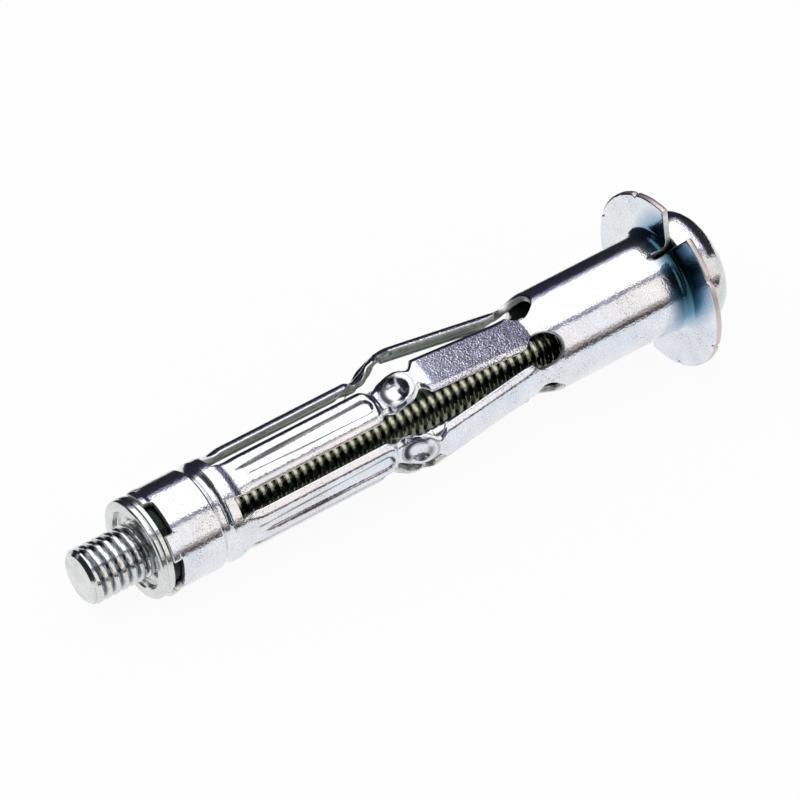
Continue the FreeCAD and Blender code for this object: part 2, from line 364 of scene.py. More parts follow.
for leg in range(leg_count):
    middle = leg_turn + leg * leg_pitch
    left_stop = -leg_pitch / 2
    right_stop = leg_pitch / 2
    if leg == leg_before_seam:
        right_stop = math.pi - seam_half - middle
    if leg == leg_after_seam:
        left_stop = math.pi + seam_half - middle
    left_turn = np.linspace(keyhole_limit(left_stop + leg_pitch / 2), keyhole_turn, gap_columns + 1)
    left_gap = np.arcsin(keyhole_radius * np.cos(left_turn) / hole_radius) - leg_pitch / 2
    right_turn = np.linspace(keyhole_turn, keyhole_limit(leg_pitch / 2 - right_stop),
                             gap_columns + 1)
    right_gap = leg_pitch / 2 - np.arcsin(keyhole_radius * np.cos(right_turn) / hole_radius)
    first_row = np.concatenate([left_gap[:-1], hole_edge * leg_share, right_gap[1:]])
    back = np.zeros(len(first_row))
    back[:gap_columns] = keyhole_back(left_gap[:-1] + leg_pitch / 2)
    back[-gap_columns:] = keyhole_back(leg_pitch / 2 - right_gap[1:])
    even = np.linspace(left_stop, right_stop, len(first_row))
    angles = np.zeros((len(tube_lengths), len(first_row)))
    for row in range(len(tube_lengths)):
        to_slit = smooth((tube_place[row, 0] - aside_start) / aside_length)
        edge = slit_angle[row]
        final = even
        if leg == top_leg:
            at_slit = len(even) // 2 - 1
            final = stations(even[0], (-middle - edge, at_slit - slit_columns),
                             (-middle + edge, 2 * slit_columns),
                             (even[-1], len(even) - at_slit - slit_columns - 1))
        if leg == leg_before_seam:
            final = stations(even[0], (math.pi - middle - edge, len(even) - slit_columns - 1),
                             (even[-1], slit_columns))
        if leg == leg_after_seam:
            final = stations(even[0], (math.pi - middle + edge, slit_columns),
                             (even[-1], len(even) - slit_columns - 1))
        even_out = smooth((tube_place[row, 0] - leg_end) / even_length)
        settled = even * (1 - to_slit) + final * to_slit
        angles[row] = middle + first_row * (1 - even_out) + settled * even_out
    gap = np.zeros((len(tube_lengths) - 1, len(first_row) - 1), bool)
    if leg == top_leg:
        gap[slit_rows, at_slit - slit_columns:at_slit + slit_columns] = True
    if leg == leg_before_seam:
        gap[slit_rows, -slit_columns:] = True
    if leg == leg_after_seam:
        gap[slit_rows, :slit_columns] = True
    row_x = tube_place[:, :1]
    pushed = back[None, :] * np.clip(1 - (row_x - leg_end) / push_reach, 0, None)
    pushed_lengths = length_at(row_x + pushed)
    lengths = np.where(row_x < leg_end + push_reach, pushed_lengths, tube_lengths[:, None])
    points = sheet_points(np.broadcast_to(lengths, angles.shape), angles)
    for nick in nick_angles:
        off = (angles[-1] - nick + math.pi) % (2 * math.pi) - math.pi
        nearest = int(np.argmin(np.abs(off)))
        if abs(off[nearest]) < leg_pitch / len(first_row) * 0.6:
            points[-1, nearest, 1:] *= 1 - nick_depth / flange_radius
    # Painted shade: a dark line on the first row behind each keyhole.
    keyhole_shade_line = np.zeros(angles.shape)
    keyhole_shade_line[1, :gap_columns + 1] = keyhole_shade
    keyhole_shade_line[1, -gap_columns - 1:] = keyhole_shade
    add_sheet(points, gap, keyhole_shade_line)

# The nets are welded into one sheet, which then gets its wall and its tumbled edges.
weld_reach = 0.000004
edge_round = 0.00009
sleeve_mesh = bpy.data.meshes.new("sleeve_strip")
sleeve_mesh.from_pydata(laid_down(np.concatenate(sleeve_corners)).tolist(), [], sleeve_faces)
# The painted shade goes with the sheet as a point attribute.
painted_shade = sleeve_mesh.attributes.new("painted_shade_share", "FLOAT", "POINT")
painted_shade.data.foreach_set("value", np.concatenate(sleeve_painted_shade).astype(np.float32))
build = bmesh.new()
build.from_mesh(sleeve_mesh)
bmesh.ops.remove_doubles(build, verts=build.verts, dist=weld_reach)
loose = [corner for corner in build.verts if not corner.link_faces]
bmesh.ops.delete(build, geom=loose, context="VERTS")
build.to_mesh(sleeve_mesh)
build.free()
sleeve_mesh.polygons.foreach_set("use_smooth", [True] * len(sleeve_mesh.polygons))
sleeve = bpy.data.objects.new("sleeve_strip", sleeve_mesh)
bpy.context.scene.collection.objects.link(sleeve)
thickness = sleeve.modifiers.new("sheet", "SOLIDIFY")
thickness.thickness = sheet / 1000
thickness.offset = -1
thickness.use_even_offset = True
thickness.use_quality_normals = True
thickness.material_offset_rim = 1
thickness.material_offset = 2
edges = sleeve.modifiers.new("tumbled edges", "BEVEL")
edges.width = edge_round
edges.segments = 2
edges.limit_method = "ANGLE"
edges.angle_limit = math.radians(50)
edges.use_clamp_overlap = False
edges.harden_normals = False


# The strip's materials, and with them the node helpers and the three shared groups.
def node(tree, kind, place=(0, 0), **values):
    """A node of that kind, with its named inputs and properties set."""
    made = tree.nodes.new(kind)
    made.location = place
    for name, value in values.items():
        if name in made.inputs:
            made.inputs[name].default_value = value
        else:
            setattr(made, name, value)
    return made


def group_tree(name, inputs, outputs):
    """A node group with named number or colour inputs and outputs, and its two end nodes."""
    made = bpy.data.node_groups.new(name, "ShaderNodeTree")
    for label, value in inputs:
        kind = "NodeSocketColor" if isinstance(value, tuple) else "NodeSocketFloat"
        socket = made.interface.new_socket(label, in_out="INPUT", socket_type=kind)
        socket.default_value = value
    for label, kind in outputs:
        made.interface.new_socket(label, in_out="OUTPUT", socket_type="NodeSocket" + kind)
    return made, node(made, "NodeGroupInput", (-1000, 0)), node(made, "NodeGroupOutput", (600, 0))


def stretch(tree, source, low, high, to_low=0.0, to_high=1.0, place=(0, 0)):
    """The source's values between low and high, stretched to the new range and clamped."""
    made = node(tree, "ShaderNodeMapRange", place)
    made.inputs["From Min"].default_value = low
    made.inputs["From Max"].default_value = high
    made.inputs["To Min"].default_value = to_low
    made.inputs["To Max"].default_value = to_high
    tree.links.new(source, made.inputs["Value"])
    return made.outputs["Result"]


def product(tree, first, second, place=(0, 0)):
    """The product of two number sockets."""
    made = node(tree, "ShaderNodeMath", place, operation="MULTIPLY")
    tree.links.new(first, made.inputs[0])
    tree.links.new(second, made.inputs[1])
    return made.outputs["Value"]


def blend_of(tree, share, first, second, place=(0, 0), way="MIX"):
    """Two colours blended by a share: each of the three is a socket or a constant."""
    made = node(tree, "ShaderNodeMix", place, data_type="RGBA", blend_type=way)
    colours = [socket for socket in made.inputs
               if socket.name in ("A", "B") and socket.type == "RGBA"]
    for socket, value in zip((made.inputs["Factor"], *colours), (share, first, second)):
        if isinstance(value, (float, tuple)):
            socket.default_value = value
        else:
            tree.links.new(value, socket)
    return next(socket for socket in made.outputs if socket.type == "RGBA")


# Place on the anchor, in millimetres: a point's Radius from the axis, its place Along it from
# the tip, and how far from the axis it lies towards two sides: Near Top towards the flange's
# upper slit, a little to the front, and Below towards the front and down.
place_group, group_in, group_out = group_tree(
    "place on anchor", [],
    [("Radius", "Float"), ("Along", "Float"), ("Near Top", "Float"), ("Below", "Float")])
where = node(place_group, "ShaderNodeTexCoord", (-900, 0))
from_tip = node(place_group, "ShaderNodeVectorMath", (-700, 0), operation="SUBTRACT")
from_tip.inputs[1].default_value = [part / 1000 for part in tip_place]
place_group.links.new(where.outputs["Object"], from_tip.inputs[0])
axis_per_metre = (math.cos(rest_lean) * 1000, 0, math.sin(rest_lean) * 1000)
top_per_metre = (-math.sin(rest_lean) * 940, -350, math.cos(rest_lean) * 940)
below_per_metre = (26.6, -902.2, -430.4)
across_axis = node(place_group, "ShaderNodeVectorMath", (-500, 100), operation="CROSS_PRODUCT")
across_axis.inputs[1].default_value = axis_per_metre
distance = node(place_group, "ShaderNodeVectorMath", (-300, 100), operation="LENGTH")
place_group.links.new(from_tip.outputs["Vector"], across_axis.inputs[0])
place_group.links.new(across_axis.outputs["Vector"], distance.inputs[0])
place_group.links.new(distance.outputs["Value"], group_out.inputs["Radius"])
for level, (label, way) in enumerate((("Along", axis_per_metre), ("Near Top", top_per_metre),
                                      ("Below", below_per_metre))):
    measured = node(place_group, "ShaderNodeVectorMath", (-500, -100 - 200 * level),
                    operation="DOT_PRODUCT")
    measured.inputs[1].default_value = way
    place_group.links.new(from_tip.outputs["Vector"], measured.inputs[0])
    place_group.links.new(measured.outputs["Value"], group_out.inputs[label])

# Zinc tint: the thin film on the plating shifts between a cool and a warm tone from place to
# place, with a fine grain that Graininess deepens, clusters of dark specks, and smears that
# change its gloss.
zinc_tint, group_in, group_out = group_tree(
    "zinc tint",
    [("Patch Size", 150.0), ("Cool", (0.74, 0.79, 0.85, 1)), ("Warm", (0.84, 0.82, 0.79, 1)),
     ("Specks", 0.5), ("Least Rough", 0.05), ("Most Rough", 0.16), ("Graininess", 0.0)],
    [("Colour", "Color"), ("Roughness", "Float")])
where = node(zinc_tint, "ShaderNodeTexCoord", (-1000, 300))
patches = node(zinc_tint, "ShaderNodeTexNoise", (-800, 400), Detail=3.0, Roughness=0.6)
dots = node(zinc_tint, "ShaderNodeTexNoise", (-800, 150), Scale=8500.0, Detail=0.0)
clusters = node(zinc_tint, "ShaderNodeTexNoise", (-800, -100), Scale=420.0, Detail=2.0)
smears = node(zinc_tint, "ShaderNodeTexNoise", (-800, -350), Scale=900.0, Detail=4.0, Roughness=0.7)
for noise in (patches, dots, clusters, smears):
    zinc_tint.links.new(where.outputs["Object"], noise.inputs["Vector"])
zinc_tint.links.new(group_in.outputs["Patch Size"], patches.inputs["Scale"])
patch_share = stretch(zinc_tint, patches.outputs["Fac"], 0.35, 0.65, place=(-600, 400))
film = blend_of(zinc_tint, patch_share, group_in.outputs["Cool"], group_in.outputs["Warm"],
                (-350, 400))
fine_grain = stretch(zinc_tint, dots.outputs["Fac"], 0.32, 0.62, 0.86, 1.05, (-600, 250))
deep_grain = stretch(zinc_tint, dots.outputs["Fac"], 0.60, 0.34, 0.0, 0.55, (-600, 550))
deep_grain = product(zinc_tint, deep_grain, group_in.outputs["Graininess"], (-450, 550))
grain_level = node(zinc_tint, "ShaderNodeMath", (-350, 250), operation="MULTIPLY_ADD")
grain_level.inputs[1].default_value = -1.0
zinc_tint.links.new(deep_grain, grain_level.inputs[0])
zinc_tint.links.new(fine_grain, grain_level.inputs[2])
grained = blend_of(zinc_tint, 1.0, film, grain_level.outputs["Value"], (-150, 300), "MULTIPLY")
dark_dots = stretch(zinc_tint, dots.outputs["Fac"], 0.60, 0.66, place=(-600, 150))
in_cluster = stretch(zinc_tint, clusters.outputs["Fac"], 0.40, 0.65, place=(-600, -100))
speck = product(zinc_tint, dark_dots, in_cluster, (-350, 50))
speck = product(zinc_tint, speck, group_in.outputs["Specks"], (-150, 0))
speck_tone = (0.07, 0.07, 0.10, 1)
tinted = blend_of(zinc_tint, speck, grained, speck_tone, (100, 200))
zinc_tint.links.new(tinted, group_out.inputs["Colour"])
gloss = node(zinc_tint, "ShaderNodeMapRange", (-350, -350))
zinc_tint.links.new(smears.outputs["Fac"], gloss.inputs["Value"])
zinc_tint.links.new(group_in.outputs["Least Rough"], gloss.inputs["To Min"])
zinc_tint.links.new(group_in.outputs["Most Rough"], gloss.inputs["To Max"])
zinc_tint.links.new(gloss.outputs["Result"], group_out.inputs["Roughness"])

# Rolled grain: the fine pebbled skin that plating leaves on cold-formed steel, over long
# shallow waves. Pebbled makes its bumps deeper.
rolled_grain, group_in, group_out = group_tree(
    "rolled grain", [("Grain Size", 9000.0), ("Strength", 0.5), ("Pebbled", 0.0)],
    [("Normal", "Vector")])
where = node(rolled_grain, "ShaderNodeTexCoord", (-800, 300))
fine = node(rolled_grain, "ShaderNodeTexNoise", (-600, 100), Detail=0.0)
waves = node(rolled_grain, "ShaderNodeTexNoise", (-600, -200), Scale=700.0, Detail=2.0)
deeper = node(rolled_grain, "ShaderNodeMath", (-600, 400), operation="MULTIPLY_ADD")
pebble_gain = 0.6
deeper.inputs[1].default_value = pebble_gain
deeper.inputs[2].default_value = 1.0
both = node(rolled_grain, "ShaderNodeMath", (-350, 0), operation="MULTIPLY_ADD")
wave_gain = 3.0
both.inputs[1].default_value = wave_gain
grain_height = 0.000016
raised = node(rolled_grain, "ShaderNodeBump", (0, 0), Distance=grain_height)
rolled_grain.links.new(where.outputs["Object"], fine.inputs["Vector"])
rolled_grain.links.new(where.outputs["Object"], waves.inputs["Vector"])
rolled_grain.links.new(group_in.outputs["Grain Size"], fine.inputs["Scale"])
rolled_grain.links.new(group_in.outputs["Pebbled"], deeper.inputs[0])
pebbles = product(rolled_grain, fine.outputs["Fac"], deeper.outputs["Value"], (-450, 200))
rolled_grain.links.new(waves.outputs["Fac"], both.inputs[0])
rolled_grain.links.new(pebbles, both.inputs[2])
rolled_grain.links.new(both.outputs["Value"], raised.inputs["Height"])
rolled_grain.links.new(group_in.outputs["Strength"], raised.inputs["Strength"])
rolled_grain.links.new(raised.outputs["Normal"], group_out.inputs["Normal"])


def metal(name, cool, warm, patch_size, specks, gloss_range, grain_size, grain_strength):
    """A plated metal with the two shared effects: it, its tree, shader, tint and grain nodes."""
    made = bpy.data.materials.new(name)
    made.use_nodes = True
    tree = made.node_tree
    shader = tree.nodes["Principled BSDF"]
    shader.inputs["Metallic"].default_value = 1.0
    tint = node(tree, "ShaderNodeGroup", (-700, 200), node_tree=zinc_tint)
    for label, value in (("Cool", cool), ("Warm", warm), ("Patch Size", patch_size),
                         ("Specks", specks), ("Least Rough", gloss_range[0]),
                         ("Most Rough", gloss_range[1])):
        tint.inputs[label].default_value = value
    grain = node(tree, "ShaderNodeGroup", (-700, -200), node_tree=rolled_grain)
    grain.inputs["Grain Size"].default_value = grain_size
    grain.inputs["Strength"].default_value = grain_strength
    tree.links.new(tint.outputs["Colour"], shader.inputs["Base Color"])
    tree.links.new(tint.outputs["Roughness"], shader.inputs["Roughness"])
    tree.links.new(grain.outputs["Normal"], shader.inputs["Normal"])
    return made, tree, shader, tint, grain


# The strip's outer side: pebbled on the legs' slopes, with a darker grain on the side that faces
# up, painted blue and dark teal reflections at the flange's root, and painted shade from the
# sheet's attribute in the channels, the dimples, along the legs' edges and behind the keyholes.
strip_skin, tree, shader, tint, grain = metal(
    "zinc strip", cool=(0.76, 0.81, 0.89, 1), warm=(0.85, 0.85, 0.87, 1), patch_size=140,
    specks=0.6, gloss_range=(0.11, 0.19), grain_size=6500, grain_strength=0.5)
painted_blue_reflection = (0.16, 0.34, 0.50, 1)
painted_teal_reflection = (0.02, 0.07, 0.09, 1)
painted_shade_tone = (0.05, 0.05, 0.055, 1)
place = node(tree, "ShaderNodeGroup", (-1100, 600), node_tree=place_group)
on_slope = product(tree, stretch(tree, place.outputs["Along"], 32.0, 34.5, place=(-900, -200)),
                   stretch(tree, place.outputs["Along"], 43.4, 42.8, place=(-900, -350)),
                   (-800, -250))
tree.links.new(on_slope, grain.inputs["Pebbled"])
# The grain's colour is darker on the side of the slopes that faces up.
facing_up = stretch(tree, place.outputs["Below"], 1.2, 0.0, place=(-900, -50))
tree.links.new(product(tree, on_slope, facing_up, (-650, -100)), tint.inputs["Graininess"])
lifted = node(tree, "ShaderNodeMath", (-900, 700), operation="MULTIPLY_ADD")
top_lift = -0.55
lifted.inputs[1].default_value = top_lift
tree.links.new(place.outputs["Near Top"], lifted.inputs[0])
tree.links.new(place.outputs["Radius"], lifted.inputs[2])
on_flange = stretch(tree, place.outputs["Along"], 56.0, 57.6, place=(-900, 500))
at_root = stretch(tree, lifted.outputs["Value"], 4.7, 3.3, place=(-700, 700))
at_bend = stretch(tree, lifted.outputs["Value"], 3.6, 2.5, place=(-700, 900))
# Painted reflections: blue and dark teal on the flange's root, reaching further out towards the
# upper slit.
blue_reflection_share = product(tree, on_flange, at_root, (-500, 600))
teal_reflection_share = product(tree, on_flange, at_bend, (-500, 800))
colour = blend_of(tree, blue_reflection_share, tint.outputs["Colour"], painted_blue_reflection, (-300, 500))
colour = blend_of(tree, teal_reflection_share, colour, painted_teal_reflection, (-200, 400))
# Painted shade: the sheet's attribute darkens the colour to near black.
painted_shade = node(tree, "ShaderNodeAttribute", (-900, -500), attribute_name="painted_shade_share")
colour = blend_of(tree, painted_shade.outputs["Fac"], colour, painted_shade_tone, (-50, 300))
tree.links.new(colour, shader.inputs["Base Color"])

# Its sheared edges are rougher, with a reddish rim round the flange, and its inside is rougher,
# with a darker colour painted on as the shade inside the sleeve.
strip_cut, tree, shader, tint, _ = metal(
    "sheared strip edge", cool=(0.74, 0.76, 0.75, 1), warm=(0.90, 0.90, 0.88, 1), patch_size=900,
    specks=0.6, gloss_range=(0.28, 0.50), grain_size=6000, grain_strength=0.6)
rim_tone = (0.62, 0.50, 0.47, 1)
place = node(tree, "ShaderNodeGroup", (-700, 500), node_tree=place_group)
at_rim = stretch(tree, place.outputs["Radius"], 7.4, 7.6, 0.0, 0.65, (-450, 500))
colour = blend_of(tree, at_rim, tint.outputs["Colour"], rim_tone, (-200, 400))
tree.links.new(colour, shader.inputs["Base Color"])
# Painted shade: the inside's colour is darker than the outer side's.
shaded_strip_inside = metal(
    "shaded strip inside", cool=(0.44, 0.55, 0.55, 1), warm=(0.48, 0.53, 0.50, 1), patch_size=300,
    specks=0.3, gloss_range=(0.25, 0.45), grain_size=8500, grain_strength=0.6)[0]
sleeve_mesh.materials.append(strip_skin)
sleeve_mesh.materials.append(strip_cut)
sleeve_mesh.materials.append(shaded_strip_inside)
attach(sleeve, "anchor_body")
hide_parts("sleeve")


# The nut is turned from bar and zinc-plated. Its body sits in the collar, and its thin rim,
# with a groove round it and a countersunk mouth, lies on the collar's front edge. Its body is
# painted near black behind the front edge, as painted shade where the collar's notches let it be
# seen.
def turn_outwards(mesh):
    """Turns the faces of a closed mesh outwards."""
    made = bmesh.new()
    made.from_mesh(mesh)
    bmesh.ops.recalc_face_normals(made, faces=made.faces)
    made.to_mesh(mesh)
    made.free()


def turned_piece(name, profile, around, smooth_angle):
    """A piece of round section from a closed line of (x, radius) points."""
    profile = np.asarray(profile, float)
    count = len(profile)
    turns = np.linspace(0, 2 * math.pi, around, endpoint=False)
    x = np.repeat(profile[None, :, 0], around, axis=0)
    y = -profile[None, :, 1] * np.sin(turns)[:, None]
    z = profile[None, :, 1] * np.cos(turns)[:, None]
    corners = laid_down(np.stack([x, y, z], axis=-1).reshape(-1, 3))
    faces = []
    for turn in range(around):
        following = (turn + 1) % around
        for k in range(count):
            after = (k + 1) % count
            faces.append((turn * count + k, turn * count + after,
                          following * count + after, following * count + k))
    mesh = bpy.data.meshes.new(name)
    mesh.from_pydata(corners.tolist(), [], faces)
    turn_outwards(mesh)
    mesh.polygons.foreach_set("use_smooth", [True] * len(mesh.polygons))
    mesh.set_sharp_from_angle(angle=smooth_angle)
    piece = bpy.data.objects.new(name, mesh)
    bpy.context.scene.collection.objects.link(piece)
    return piece


nut_line = rounded_path([
    (5.20, 3.45, 0), (5.20, 4.15, 0.08), (5.28, 4.30, 0.1), (5.42, 4.35, 0.1),
    (5.63, 4.35, 0.04), (5.75, 4.23, 0.04), (5.87, 4.35, 0.04), (6.22, 4.35, 0.06),
    (6.30, 4.27, 0.04), (6.30, 3.83, 0), (10.55, 3.83, 0.1), (10.75, 3.63, 0.1),
    (10.75, 2.45, 0.0), (6.0, 2.45, 0.05), (5.80, 2.80, 0.05), (5.80, 3.25, 0.08),
    (5.35, 3.35, 0.05), (5.20, 3.45, 0),
], path_step)[:-1]
nut = turned_piece("nut_insert", nut_line, around=128, smooth_angle=math.radians(40))
nut_skin, tree, shader, tint, _ = metal(
    "zinc nut", cool=(0.66, 0.70, 0.70, 1), warm=(0.80, 0.80, 0.78, 1), patch_size=400,
    specks=0.6, gloss_range=(0.10, 0.24), grain_size=6000, grain_strength=0.5)
# Painted shade: the nut's body inside the collar is near black.
painted_notch_shade = (0.015, 0.02, 0.02, 1)
place = node(tree, "ShaderNodeGroup", (-700, 500), node_tree=place_group)
in_collar = stretch(tree, place.outputs["Along"], 6.25, 6.35, place=(-450, 600))
colour = blend_of(tree, in_collar, tint.outputs["Colour"], painted_notch_shade, (-200, 400))
tree.links.new(colour, shader.inputs["Base Color"])
nut.data.materials.append(nut_skin)
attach(nut, "anchor_body")
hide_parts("nut")


# The screw is headed and thread-rolled from wire and zinc-plated: a right-hand thread of
# 0.8 mm pitch from its chamfered tip to its pan head, which has a cross recess.
thread_pitch = 0.8
crest_radius = 2.42
root_radius = 1.98
tip_chamfer = 0.35
flank_slope = 2.0
root_share = 0.25
shank_end = 58.5
run_in_start, run_in_length = 0.1, 0.9
run_out_end, run_out_length = shank_end - 0.2, 1.0
head_radius = 5.15
head_side_end = 60.30
head_round = 1.9
crown_radius = head_radius - head_round
crown_top = 62.49
crown_rise = 0.29
turn_count = 56
rows_per_pitch = 14


def thread_radius(x, turn):
    """The thread's radius, with rounded crests and roots, fading out at both ends."""
    phase = (x / thread_pitch - turn / (2 * math.pi)) % 1.0
    rise = smooth((0.5 - np.abs(phase - 0.5)) * 2 * flank_slope - root_share)
    depth = (crest_radius - root_radius) * smooth((x - run_in_start) / run_in_length)
    depth = depth * smooth((run_out_end - x) / run_out_length)
    chamfered = crest_radius - np.clip(tip_chamfer - x, 0, None)
    return np.minimum(crest_radius - depth * (1 - rise), chamfered)


thread_x = np.arange(tip_chamfer, shank_end - 0.05, thread_pitch / rows_per_pitch)
screw_x = np.concatenate([[0.0, 0.12, 0.24], thread_x])
turns = np.linspace(0, 2 * math.pi, turn_count, endpoint=False)
shank_x, shank_turn = np.meshgrid(screw_x, turns, indexing="ij")
shank_radius = thread_radius(shank_x, shank_turn)
corner_turns = np.linspace(0, math.pi / 2, 13)
crown_radii = np.linspace(crown_radius, 0.02, 12)[1:]
head_line = np.concatenate([
    rounded_path([(shank_end, crest_radius, 0), (shank_end, head_radius, 0.12),
                  (head_side_end, head_radius, 0)], 0.04),
    np.stack([head_side_end + head_round * np.sin(corner_turns),
              crown_radius + head_round * np.cos(corner_turns)], axis=-1)[1:],
    np.stack([crown_top - crown_rise * (crown_radii / crown_radius) ** 2, crown_radii], axis=-1),
])
shank = np.stack([shank_x, -shank_radius * np.sin(shank_turn),
                  shank_radius * np.cos(shank_turn)], axis=-1)
head = np.stack([np.repeat(head_line[:, :1], turn_count, axis=1),
                 -head_line[:, 1:] * np.sin(turns), head_line[:, 1:] * np.cos(turns)], axis=-1)
rings = np.concatenate([shank, head]).reshape(-1, 3)
ring_count = len(rings) // turn_count
screw_faces = []
for ring in range(ring_count - 1):
    for turn in range(turn_count):
        following = (turn + 1) % turn_count
        here, there = ring * turn_count, (ring + 1) * turn_count
        screw_faces.append((here + turn, here + following, there + following, there + turn))
screw_faces.append(tuple(reversed(range(turn_count))))
screw_faces.append(tuple(range((ring_count - 1) * turn_count, ring_count * turn_count)))
screw_mesh = bpy.data.meshes.new("screw_m5")
screw_mesh.from_pydata(laid_down(rings).tolist(), [], screw_faces)
turn_outwards(screw_mesh)
screw = bpy.data.objects.new("screw_m5", screw_mesh)
bpy.context.scene.collection.objects.link(screw)

# The cross recess is sunk by two crossed wedges, each with the place, half length and half
# width of its floor and its mouth. The slivers that this leaves are taken out.
recess_floor = (60.1, 1.27, 0.42)
recess_mouth = (62.9, 2.46, 0.50)
sliver = 0.000002
recess_corners = []
recess_faces = []
for blade in (math.radians(45), math.radians(135)):
    across = np.array([0, -math.sin(blade), math.cos(blade)])
    aside = np.array([0, math.cos(blade), math.sin(blade)])
    first = len(recess_corners)
    for x, reach, half in (recess_floor, recess_mouth):
        for side, edge in ((-1, -1), (1, -1), (1, 1), (-1, 1)):
            corner = np.array([x, 0, 0]) + across * reach * side + aside * half * edge
            recess_corners.append(corner)
    for face in ((0, 1, 2, 3), (7, 6, 5, 4), (0, 4, 5, 1), (1, 5, 6, 2), (2, 6, 7, 3),
                 (3, 7, 4, 0)):
        recess_faces.append([first + corner for corner in face])
recess_mesh = bpy.data.meshes.new("driver_recess")
recess_mesh.from_pydata(laid_down(recess_corners).tolist(), [], recess_faces)
recess = bpy.data.objects.new("driver_recess", recess_mesh)
bpy.context.scene.collection.objects.link(recess)
sunk = screw.modifiers.new("driver recess", "BOOLEAN")
sunk.object = recess
sunk.solver = "EXACT"
sunk.use_self = True
bpy.context.view_layer.update()
cut_screw = screw.evaluated_get(bpy.context.evaluated_depsgraph_get())
screw_mesh = bpy.data.meshes.new_from_object(cut_screw)
screw.modifiers.clear()
screw.data = screw_mesh
bpy.data.objects.remove(recess)
made = bmesh.new()
made.from_mesh(screw_mesh)
bmesh.ops.triangulate(made, faces=[face for face in made.faces if len(face.verts) > 4])
bmesh.ops.dissolve_degenerate(made, dist=sliver, edges=made.edges)
made.to_mesh(screw_mesh)
made.free()
screw_mesh.polygons.foreach_set("use_smooth", [True] * len(screw_mesh.polygons))
screw_mesh.set_sharp_from_angle(angle=math.radians(38))
screw_mesh.materials.clear()

# The thread's roots are darker than its crests, as painted shade, and behind the nut, inside the
# sleeve, its crests, roots and under side are painted darker still as shade. Head and tip are
# plain.
screw_skin, tree, shader, tint, _ = metal(
    "zinc screw", cool=(0.66, 0.69, 0.70, 1), warm=(0.78, 0.78, 0.77, 1), patch_size=500,
    specks=0.6, gloss_range=(0.07, 0.20), grain_size=7000, grain_strength=0.5)
# Painted shade: darker roots, and darker crests, roots and under side inside the sleeve.
sleeve_shaded_crest = (0.54, 0.56, 0.46, 1)
shaded_root = (0.30, 0.33, 0.35, 1)
sleeve_shaded_root = (0.18, 0.19, 0.15, 1)
shaded_under_side = (0.17, 0.18, 0.14, 1)
place = node(tree, "ShaderNodeGroup", (-900, 600), node_tree=place_group)
on_crest = stretch(tree, place.outputs["Radius"], 2.06, 2.30, place=(-650, 600))
for start, end in ((0.2, 0.1), (shank_end, shank_end + 0.2)):
    plain_end = stretch(tree, place.outputs["Along"], start, end, place=(-650, 400))
    joined = node(tree, "ShaderNodeMath", (-450, 600), operation="MAXIMUM")
    tree.links.new(on_crest, joined.inputs[0])
    tree.links.new(plain_end, joined.inputs[1])
    on_crest = joined.outputs["Value"]
past_nut = stretch(tree, place.outputs["Along"], 6.0, 12.0, place=(-650, 800))
before_head = stretch(tree, place.outputs["Along"], shank_end + 0.1, shank_end - 0.1,
                      place=(-650, 1000))
in_sleeve_shade = product(tree, past_nut, before_head, (-450, 900))
crest_tone = blend_of(tree, in_sleeve_shade, tint.outputs["Colour"], sleeve_shaded_crest, (-300, 500))
root_tone = blend_of(tree, in_sleeve_shade, shaded_root, sleeve_shaded_root, (-300, 700))
thread_tone = blend_of(tree, on_crest, root_tone, crest_tone, (-100, 600))
under_side = stretch(tree, place.outputs["Below"], 0.38, 0.58, place=(-650, 1200))
under_side_shade = product(tree, in_sleeve_shade, under_side, (-300, 1000))
colour = blend_of(tree, under_side_shade, thread_tone, shaded_under_side, (0, 700))
tree.links.new(colour, shader.inputs["Base Color"])
screw_mesh.materials.append(screw_skin)
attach(screw, "screw_body")
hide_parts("screw")


# The table is a pale plain board, seen as white paper by the camera and in reflections,
# and it keeps the anchor's soft shadow.
def seen_rays(tree, left):
    """One for rays from the camera, from a mirroring surface or through a clear one."""
    rays = node(tree, "ShaderNodeLightPath", (left, 300))
    seen = rays.outputs["Is Camera Ray"]
    for step, kind in enumerate(("Is Glossy Ray", "Is Transmission Ray"), 1):
        either = node(tree, "ShaderNodeMath", (left + 200 * step, 300), operation="ADD",
                      use_clamp=True)
        tree.links.new(seen, either.inputs[0])
        tree.links.new(rays.outputs[kind], either.inputs[1])
        seen = either.outputs["Value"]
    return seen


bpy.ops.mesh.primitive_plane_add(size=6, location=(0, 0, 0))
table = bpy.context.object
table.name = "table"
paper_share = 0.93
table_paper = bpy.data.materials.new("white board")
table_paper.use_nodes = True
tree = table_paper.node_tree
shader = tree.nodes["Principled BSDF"]
shader.inputs["Base Color"].default_value = (0.92, 0.93, 0.94, 1)
shader.inputs["Roughness"].default_value = 0.9
seen = seen_rays(tree, -600)
glow = node(tree, "ShaderNodeEmission", (0, -200))
glow.inputs["Color"].default_value = (1, 1, 1, 1)
share = node(tree, "ShaderNodeMath", (0, 300), operation="MULTIPLY")
share.inputs[1].default_value = paper_share
blend = node(tree, "ShaderNodeMixShader", (300, 0))
tree.links.new(seen, share.inputs[0])
tree.links.new(share.outputs["Value"], blend.inputs["Fac"])
tree.links.new(shader.outputs["BSDF"], blend.inputs[1])
tree.links.new(glow.outputs["Emission"], blend.inputs[2])
tree.links.new(blend.outputs["Shader"], tree.nodes["Material Output"].inputs["Surface"])
table.data.materials.append(table_paper)

